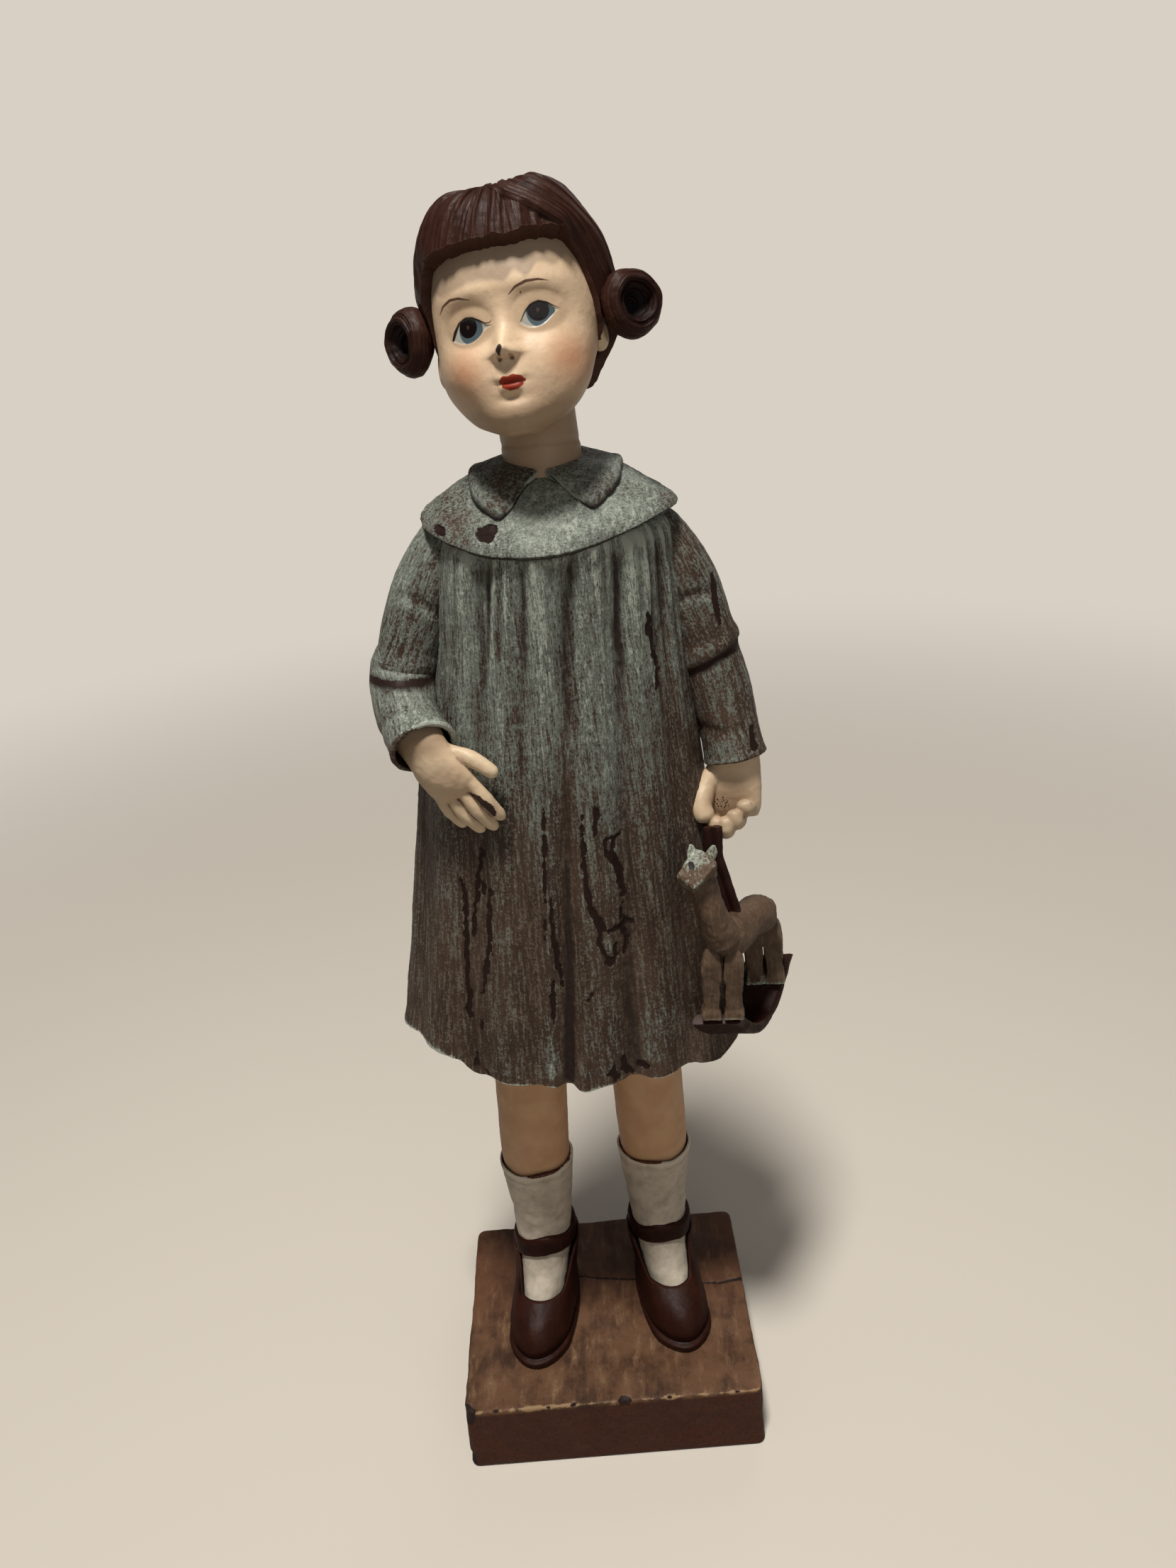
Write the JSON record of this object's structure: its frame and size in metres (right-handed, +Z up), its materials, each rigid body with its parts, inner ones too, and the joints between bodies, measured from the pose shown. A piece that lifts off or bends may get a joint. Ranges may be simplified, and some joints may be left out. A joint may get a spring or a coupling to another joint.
{
  "type": "schoolgirl figurine",
  "caption": "Cast figure of a schoolgirl in a smock dress on a rectangular block, hair in side buns, one hand on her skirt and the other holding a toy rocking horse.",
  "frame": {"origin": "centre of the block's flat underside", "axes": "+Z up through the figure, -Y the way the girl faces, +X to her left"},
  "size_m": [0.0626, 0.0408, 0.1932],
  "materials": {
    "skin_paint": "cream skin paint on cast resin, satin gloss, brown wash in the recesses",
    "hair_paint": "very dark brown paint, satin gloss, over moulded locks",
    "dress_paint": "grey-green drybrushed over dark brown, worn through in vertical strokes and near-black chips",
    "sock_paint": "off-white paint, faint brown speckle",
    "shoe_paint": "dark oxblood paint, glossy",
    "block_paint": "mottled warm brown wash, ochre where the front edge has chipped",
    "horse_paint": "tan-brown with traces of mint left in the high spots",
    "rocker_paint": "near-black brown, dull, worn along the edge",
    "strap_paint": "near-black, dull"
  },
  "bodies": {
    "root": {"block": "block_paint", "right_leg": "skin_paint", "left_leg": "skin_paint", "right_sock": "sock_paint", "left_sock": "sock_paint", "right_shoe": "shoe_paint", "left_shoe": "shoe_paint", "right_shoe_strap": "shoe_paint", "left_shoe_strap": "shoe_paint", "dress": "dress_paint", "yoke": "dress_paint", "right_collar": "dress_paint", "left_collar": "dress_paint", "right_upper_sleeve": "dress_paint", "right_lower_sleeve": "dress_paint", "left_upper_sleeve": "dress_paint", "left_lower_sleeve": "dress_paint", "right_hand": "skin_paint", "left_hand": "skin_paint", "head": "skin_paint", "hair": "hair_paint", "right_bun": "hair_paint", "left_bun": "hair_paint", "rocker_board": "rocker_paint", "horse_body": "horse_paint", "horse_head": "horse_paint", "horse_front_leg_right": "horse_paint", "horse_front_leg_left": "horse_paint", "horse_hind_leg_right": "horse_paint", "horse_hind_leg_left": "horse_paint", "horse_strap": "strap_paint"}
  },
  "joints": []
}
